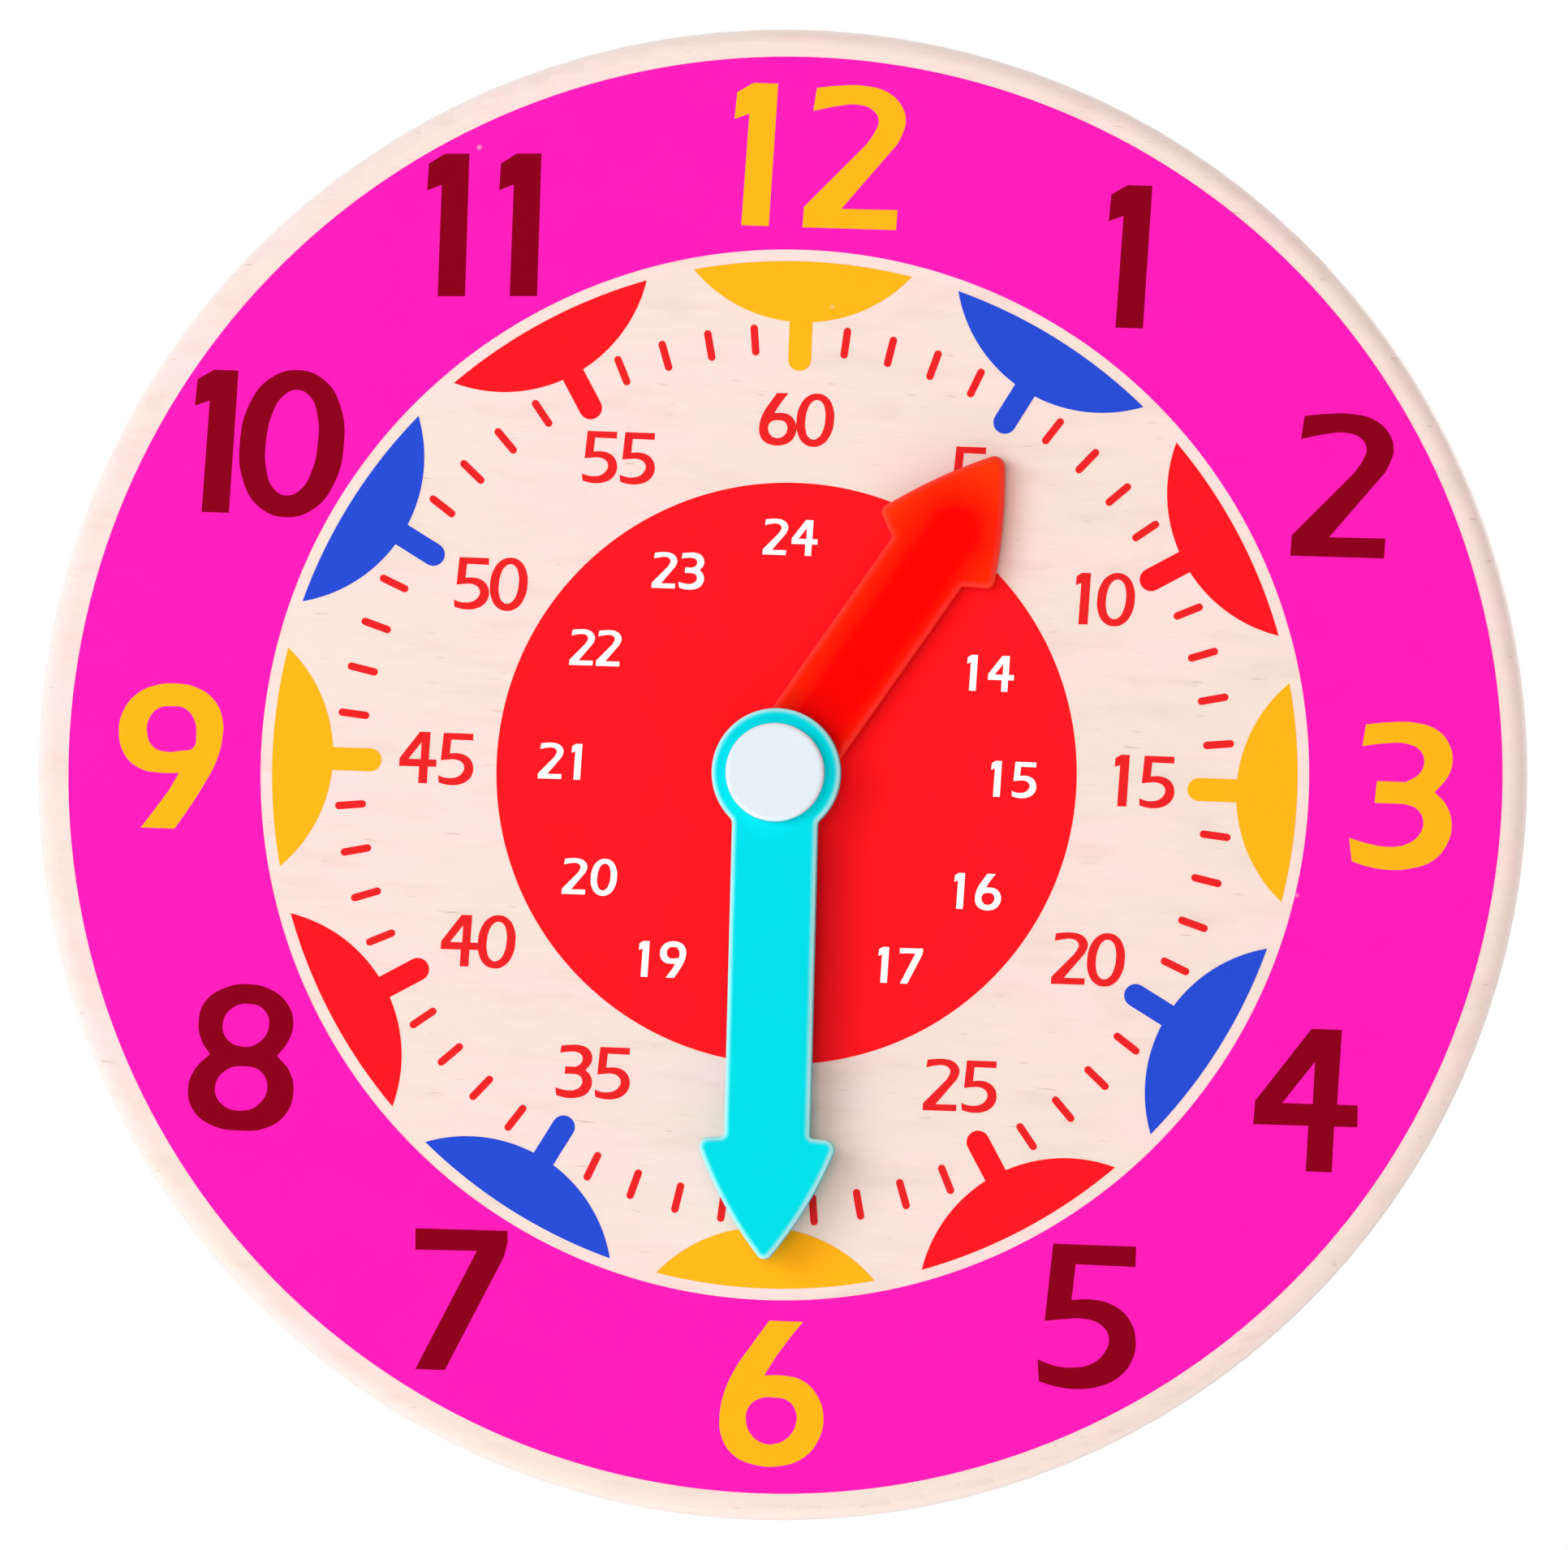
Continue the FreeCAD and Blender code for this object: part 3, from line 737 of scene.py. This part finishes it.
def printed(name, sheets, ink, layer):
    """One pass of the screen: sheets of ink, each with its place on the dial.

    The first layer lies on the wood and the second on the first.
    """
    stack = bmesh.new()
    lift = (layer + 0.5) * ink_thickness
    for sheet, scale, place in sheets:
        copy = sheet.copy()
        lay = Matrix.Translation((place[0], dial_face - lift, place[1]))
        lay = lay @ Matrix.Rotation(math.radians(90), 4, "X")
        lay = lay @ Matrix.Diagonal((scale, scale, ink_thickness, 1))
        copy.transform(lay)
        stack.from_mesh(copy)
        bpy.data.meshes.remove(copy)
    bmesh.ops.remove_doubles(stack, verts=stack.verts, dist=0.001 * MM)
    bmesh.ops.recalc_face_normals(stack, faces=stack.faces)
    mesh = bpy.data.meshes.new(name)
    stack.to_mesh(mesh)
    stack.free()
    mesh.materials.append(ink)
    piece = bpy.data.objects.new(name, mesh)
    bpy.context.scene.collection.objects.link(piece)
    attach(piece, "clock")


def sides(digit):
    """How far a digit reaches to the left and to the right on its grid."""
    across = [point[0] for point in DIGITS[digit][0]]
    return min(across), max(across)


def numerals(places, height, weight, middle, gaps, turns):
    """The sheets of a ring of numerals, from each one's text and place."""
    sheets = []
    grid = height / 100
    drawn = {digit: filled(outlines, weight) for digit, outlines in DIGITS.items()}
    for text, (x, z) in places.items():
        spans = [sides(digit) for digit in text]
        width = sum(high - low for low, high in spans)
        room = gaps.get(text, GAP_AFTER_ONE if text[0] == "1" else DIGIT_GAP)
        width += room * (len(text) - 1)
        left = -width / 2
        turn = Matrix.Rotation(math.radians(turns.get(text, 0.0)), 4, "Z")
        for digit, (low, high) in zip(text, spans):
            turned = drawn[digit].copy()
            turned.transform(turn)
            corner = (turn @ Vector((left - low, -50, 0))).xy
            sheets.append((turned, grid, middle + Vector((x, z)) * MM + corner * grid))
            left += high - low + room
    return sheets


def ring_sheet(outside, inside):
    """A flat ring, its inner circle run backwards as a hole."""
    turn = 2 * math.pi
    corners = 240
    outer = round_points(outside, 0, turn, corners)[:-1]
    inner = round_points(inside, turn, 0, corners)[:-1]
    return filled([outer, inner])


def disc_sheet(radius):
    """A flat disc."""
    corners = 180
    return filled([round_points(radius, 0, 2 * math.pi, corners)[:-1]])


def segment_sheet(angle):
    """A lens at the ring's inner edge with a round-ended stem towards the middle."""
    corner_x = segment_outside * math.sin(segment_half_angle)
    corner_z = segment_outside * math.cos(segment_half_angle)
    rise = corner_z - segment_bulge
    bulge_radius = (corner_x**2 + rise**2) / (2 * rise)
    bulge_middle = (0.0, segment_bulge + bulge_radius)
    corner_angle = math.asin(corner_x / bulge_radius)
    half_stem = stem_width / 2
    stem_angle = math.asin(half_stem / bulge_radius)
    down = math.pi
    outline = round_points(segment_outside, -segment_half_angle, segment_half_angle, 24)
    outline += round_points(
        bulge_radius, down - corner_angle, down - stem_angle, 16, bulge_middle
    )[1:]
    stem_middle = (0.0, stem_end + half_stem)
    outline += round_points(half_stem, math.pi / 2, math.pi * 3 / 2, 12, stem_middle)
    outline += round_points(
        bulge_radius, down + stem_angle, down + corner_angle, 16, bulge_middle
    )[:-1]
    return filled([turned_about(outline, angle)])


def tick_sheet(angle):
    """A minute mark with round ends."""
    half = tick_width / 2
    outline = round_points(half, -math.pi / 2, math.pi / 2, 8, (0.0, tick_outside - half))
    outline += round_points(half, math.pi / 2, math.pi * 3 / 2, 8, (0.0, tick_inside + half))
    return filled([turned_about(outline, angle)])


def print_dial():
    """All the passes of ink, the plain fields first and the numerals on them."""
    magenta = screen_ink("magenta_screen_ink", "FF1AB4", "FF28BB")
    maroon = screen_ink("maroon_screen_ink", "86001A", "90001E")
    amber = screen_ink("amber_screen_ink", "FFB118", "FFB624")
    blue = screen_ink("blue_screen_ink", "2549CE", "2E52D6")
    red = screen_ink("red_screen_ink", "FF1721", "FF202A")
    fine_red = screen_ink("fine_red_screen_ink", "E62225", "DE2C2F")
    white = screen_ink("white_screen_ink", "FFFFFF", "FFF4F2")

    on_wood = 0
    on_ink = 1
    full_size = 1.0
    ring = ring_sheet(hour_ring_outside, hour_ring_inside)
    disc = disc_sheet(disc_radius)
    printed("magenta_hour_ring", [(ring, full_size, print_centre)], magenta, on_wood)
    printed("red_day_disc", [(disc, full_size, disc_centre)], red, on_wood)

    # The quarters are amber, so that they stand out
    amber_hours = {text: place for text, place in HOUR_PLACES.items() if int(text) % 3 == 0}
    maroon_hours = {text: place for text, place in HOUR_PLACES.items() if int(text) % 3}
    printed(
        "amber_hour_numerals",
        numerals(amber_hours, hour_height, hour_weight, print_centre, HOUR_GAPS, HOUR_TURNS),
        amber,
        on_ink,
    )
    printed(
        "maroon_hour_numerals",
        numerals(maroon_hours, hour_height, hour_weight, print_centre, HOUR_GAPS, HOUR_TURNS),
        maroon,
        on_ink,
    )
    printed(
        "minute_numerals",
        numerals(MINUTE_PLACES, minute_height, minute_weight, print_centre, MINUTE_GAPS, {}),
        fine_red,
        on_wood,
    )
    printed(
        "day_numerals",
        numerals(DAY_PLACES, day_height, day_weight, disc_centre, DAY_GAPS, {}),
        white,
        on_ink,
    )

    segments = {"amber": [], "blue": [], "red": []}
    for hour in range(12):
        colour = ("amber", "blue", "red")[hour % 3]
        sheet = segment_sheet(math.radians(30 * hour))
        segments[colour].append((sheet, full_size, print_centre))
    printed("amber_segments", segments["amber"], amber, on_wood)
    printed("blue_segments", segments["blue"], blue, on_wood)
    printed("red_segments", segments["red"], red, on_wood)

    ticks = []
    for minute in range(60):
        if minute % 5:
            ticks.append((tick_sheet(math.radians(6 * minute)), full_size, print_centre))
    printed("minute_ticks", ticks, fine_red, on_wood)


def dress_nodes():
    """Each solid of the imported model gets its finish."""
    case_plastic, _, _ = moulded(
        "spark_textured_abs",
        "E4E6E8",
        "DCDEE0",
        roughness=0.5,
        texture_mm=0.35,
        texture_depth_mm=0.04,
    )
    acetal, _, _ = moulded(
        "natural_acetal",
        "F2EEE2",
        "EAE6DA",
        roughness=0.32,
        texture_mm=0.6,
        texture_depth_mm=0.01,
        ior=1.48,
    )
    nylon, _, _ = moulded(
        "natural_nylon",
        "EFEDE2",
        "E4E1D4",
        roughness=0.45,
        texture_mm=0.5,
        texture_depth_mm=0.01,
        ior=1.53,
    )
    # The hands and the cap carry a painted highlight on their rounded edges, in the last colour
    # given
    cyan, _, _ = hand_material("cyan_abs", "00D5DF", "00D8E2", "B8F6F9", highlight_strength=0.9)
    red = red_hand()
    white, _, _ = hand_material("white_abs", "D9E4EC", "DBE5EC", "E6EFF4", highlight_strength=0.5)
    ground = metal("ground_steel", "C8C8CA", "B4B4B6", roughness=0.25, scratch_mm=0.15)
    spring = metal("spring_steel", "8C8C90", "74747A", roughness=0.35, scratch_mm=0.2)
    zinc = metal("zinc_plated_steel", "CFD0CC", "BFC0B4", roughness=0.35, scratch_mm=0.3)
    finishes = {
        "dial_board": bare_beech(),
        "gear_case": case_plastic,
        "case_cover": case_plastic,
        "case_screws": zinc,
        "cover_screws": zinc,
        "dial_washer": nylon,
        "pin_washer": nylon,
        "thrust_washer": nylon,
        "hand_spacer": nylon,
        "intermediate_pin": ground,
        "minute_arbor": ground,
        "arbor_clip": spring,
        "friction_washer": spring,
        "intermediate_wheel": acetal,
        "intermediate_pinion": acetal,
        "minute_pinion": acetal,
        "hour_wheel": acetal,
        "hour_hand": red,
        "minute_hand": cyan,
        "hand_cap": white,
    }
    for name, finish in finishes.items():
        node = nodes[name]
        for slot in node.material_slots:
            slot.material = finish


def screw(head_radius, head_height, core, length):
    """Pan-head screw, its head towards +Z from 0, with a cross recess."""
    profile = [
        (0.0, head_height),
        (0.45 * head_radius, 0.98 * head_height),
        (0.72 * head_radius, 0.88 * head_height),
        (0.9 * head_radius, 0.66 * head_height),
        (0.98 * head_radius, 0.38 * head_height),
        (head_radius, 0.12 * head_height),
        (0.97 * head_radius, 0.0),
        (core, 0.0),
        (core, -0.88 * length),
        (0.45 * core, -0.98 * length),
        (0.0, -length),
    ]
    body = bmesh.new()
    line = [body.verts.new((radius, 0, height)) for radius, height in profile]
    edges = [body.edges.new(pair) for pair in zip(line, line[1:])]
    bmesh.ops.spin(
        body,
        geom=line + edges,
        axis=(0, 0, 1),
        cent=(0, 0, 0),
        steps=48,
        angle=2 * math.pi,
        use_merge=True,
    )
    bmesh.ops.remove_doubles(body, verts=body.verts, dist=0.001 * MM)
    bmesh.ops.recalc_face_normals(body, faces=body.faces)
    solid = bpy.data.meshes.new("screw")
    body.to_mesh(solid)
    body.free()

    arm = 0.56 * head_radius
    half = 0.15 * head_radius
    corners = [(half, half), (half, arm), (-half, arm), (-half, half)]
    corners += [(-arm, half), (-arm, -half), (-half, -half), (-half, -arm)]
    corners += [(half, -arm), (half, -half), (arm, -half), (arm, half)]
    cutter = bmesh.new()
    rings = []
    for height, share in ((1.1 * head_height, 1.1), (0.3 * head_height, 0.5)):
        rings.append([cutter.verts.new((x * share, y * share, height)) for x, y in corners])
    for here in range(12):
        there = (here + 1) % 12
        top, bottom = rings
        cutter.faces.new((top[here], top[there], bottom[there], bottom[here]))
    for ring in rings:
        cutter.faces.new(ring)
    bmesh.ops.recalc_face_normals(cutter, faces=cutter.faces)
    recess = bpy.data.meshes.new("recess")
    cutter.to_mesh(recess)
    cutter.free()

    blank = bpy.data.objects.new("blank", solid)
    driver_tip = bpy.data.objects.new("driver_tip", recess)
    bpy.context.scene.collection.objects.link(blank)
    bpy.context.scene.collection.objects.link(driver_tip)
    cut = blank.modifiers.new("recess", "BOOLEAN")
    cut.object = driver_tip
    cut.operation = "DIFFERENCE"
    cut.solver = "EXACT"
    bpy.context.view_layer.update()
    made = bpy.data.meshes.new_from_object(
        blank.evaluated_get(bpy.context.evaluated_depsgraph_get())
    )
    bpy.data.objects.remove(blank)
    bpy.data.objects.remove(driver_tip)
    return made


def drive_screws(node, places, seat, mesh, finish):
    """The node's screws, driven from behind, each recess turned as it came to rest."""
    first_turn = 11.0
    next_turn = 37.0
    stack = bmesh.new()
    for count, (x, z) in enumerate(places):
        copy = mesh.copy()
        lay = Matrix.Translation((x * MM, -seat, z * MM))
        lay = lay @ Matrix.Rotation(math.radians(-90), 4, "X")
        lay = lay @ Matrix.Rotation(math.radians(next_turn * count + first_turn), 4, "Z")
        copy.transform(lay)
        stack.from_mesh(copy)
        bpy.data.meshes.remove(copy)
    mesh = bpy.data.meshes.new("pan_head_" + node)
    stack.to_mesh(mesh)
    stack.free()
    for face in mesh.polygons:
        face.use_smooth = True
    mesh.materials.append(finish)
    piece = bpy.data.objects.new("pan_head_" + node, mesh)
    bpy.context.scene.collection.objects.link(piece)
    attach(piece, "clock")
    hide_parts(node)


def make_screws():
    """Zinc plated pan-head screws: four hold the case to the board, four the cover."""
    zinc = metal(
        "zinc_plated_steel_heads", "D6D6D0", "BEBFB4", roughness=0.3, scratch_mm=0.3
    )
    drive_screws(
        "case_screws",
        CASE_SCREW_PLACES,
        case_screw_seat,
        screw(head_radius=3.3 * MM, head_height=1.9 * MM, core=1.2 * MM, length=9.0 * MM),
        zinc,
    )
    drive_screws(
        "cover_screws",
        COVER_SCREW_PLACES,
        cover_screw_seat,
        screw(head_radius=2.3 * MM, head_height=1.3 * MM, core=1.0 * MM, length=9.0 * MM),
        zinc,
    )


def set_studio():
    """A pale floor, a wide window to the left, a lamp by the camera and one behind the clock.

    White lies all round but where the reader stands.
    """
    floor_half = 30.0
    floor_level = -0.9
    reader_side_light = 0.05

    floor_mesh = bpy.data.meshes.new("floor")
    sides_of_floor = ((-1, -1), (1, -1), (1, 1), (-1, 1))
    corners = [(x * floor_half, y * floor_half, floor_level) for x, y in sides_of_floor]
    floor_mesh.from_pydata(corners, [], [(0, 1, 2, 3)])
    floor = bpy.data.objects.new("floor", floor_mesh)
    bpy.context.scene.collection.objects.link(floor)
    pale, _, shader = surface("pale_floor", Roughness=0.8)
    shader.inputs["Base Color"].default_value = linear("FAFAFA")
    floor_mesh.materials.append(pale)

    def area_light(name, width, height, power, away, hex_colour):
        data = bpy.data.lights.new(name, "AREA")
        data.shape = "RECTANGLE"
        data.size = width
        data.size_y = height
        data.energy = power
        data.color = linear(hex_colour)[:3]
        lamp = bpy.data.objects.new(name, data)
        bpy.context.scene.collection.objects.link(lamp)
        lamp.location = away
        lamp.rotation_mode = "QUATERNION"
        lamp.rotation_quaternion = (-Vector(away)).to_track_quat("-Z", "Y")
        return lamp

    area_light(
        "window",
        width=1.2,
        height=0.76,
        power=15.9,
        away=(-0.88, -1.43, 0.30),
        hex_colour="E4FAFF",
    )
    # The lamp by the camera is polarised, so the plastic doesn't mirror it
    front = area_light(
        "front",
        width=0.45,
        height=0.6,
        power=8.9,
        away=(-0.03, -1.6, 0.1),
        hex_colour="FFE0D4",
    )
    front.visible_glossy = False
    area_light(
        "back",
        width=0.9,
        height=0.7,
        power=10.0,
        away=(0.9, 1.5, 0.7),
        hex_colour="FFFFFF",
    )

    world = bpy.data.worlds.new("white")
    bpy.context.scene.world = world
    world.use_nodes = True
    tree = world.node_tree
    tree.nodes.clear()
    # White behind and beside the clock, and dim where the reader stands. The
    # background of the picture stays white.
    place = add(tree, "ShaderNodeTexCoord").outputs["Generated"]
    facing = add(tree, "ShaderNodeSeparateXYZ", {"Vector": place})
    around = add(
        tree,
        "ShaderNodeMapRange",
        {
            "Value": facing.outputs["Y"],
            "From Min": -0.4,
            "From Max": -0.1,
            "To Min": reader_side_light,
            "To Max": 1.0,
        },
    )
    path = add(tree, "ShaderNodeLightPath")
    bright = add(
        tree,
        "ShaderNodeMath",
        {0: path.outputs["Is Camera Ray"], 1: around.outputs[0]},
        operation="MAXIMUM",
    )
    tint = add(
        tree,
        "ShaderNodeMix",
        {"Factor": bright.outputs[0], "A": linear("FFF0E8"), "B": linear("FFFFFF")},
        data_type="RGBA",
    )
    white = add(
        tree,
        "ShaderNodeBackground",
        {"Strength": bright.outputs[0], "Color": tint.outputs["Result"]},
    )
    add(tree, "ShaderNodeOutputWorld", {"Surface": white.outputs[0]})
    bpy.context.scene.view_settings.view_transform = "Standard"


def set_camera():
    """The camera stands far off, a little right of the dial's axis and a little below it.

    It is rolled, so the dial looks turned. The sizes of the frame, the scale and
    the dial's middle are in the photograph's own pixels.
    """
    frame_width = 1932
    frame_height = 1910
    pixels_to_mm = 8.357
    dial_middle = (960.8, 953.7)
    distance = 4.0
    aside = math.radians(4.15)
    below = math.radians(1.35)
    roll = math.radians(2.15)
    data = bpy.data.cameras.new("camera")
    data.sensor_width = 36.0
    data.lens = data.sensor_width * distance * pixels_to_mm / (frame_width * MM)
    camera = bpy.data.objects.new("camera", data)
    bpy.context.scene.collection.objects.link(camera)
    back = Vector(
        (math.sin(aside) * math.cos(below), -math.cos(aside) * math.cos(below), -math.sin(below))
    )
    turn = (-back).to_track_quat("-Z", "Y") @ Matrix.Rotation(roll, 3, "Z").to_quaternion()
    right = frame_width / 2 - dial_middle[0]
    up = dial_middle[1] - frame_height / 2
    aim = Vector((0, dial_face, 0)) + turn @ Vector((right, up, 0)) * MM / pixels_to_mm
    camera.location = aim + back * distance
    camera.rotation_mode = "QUATERNION"
    camera.rotation_quaternion = turn
    bpy.context.scene.camera = camera


dress_nodes()
print_dial()
make_screws()
set_studio()
set_camera()
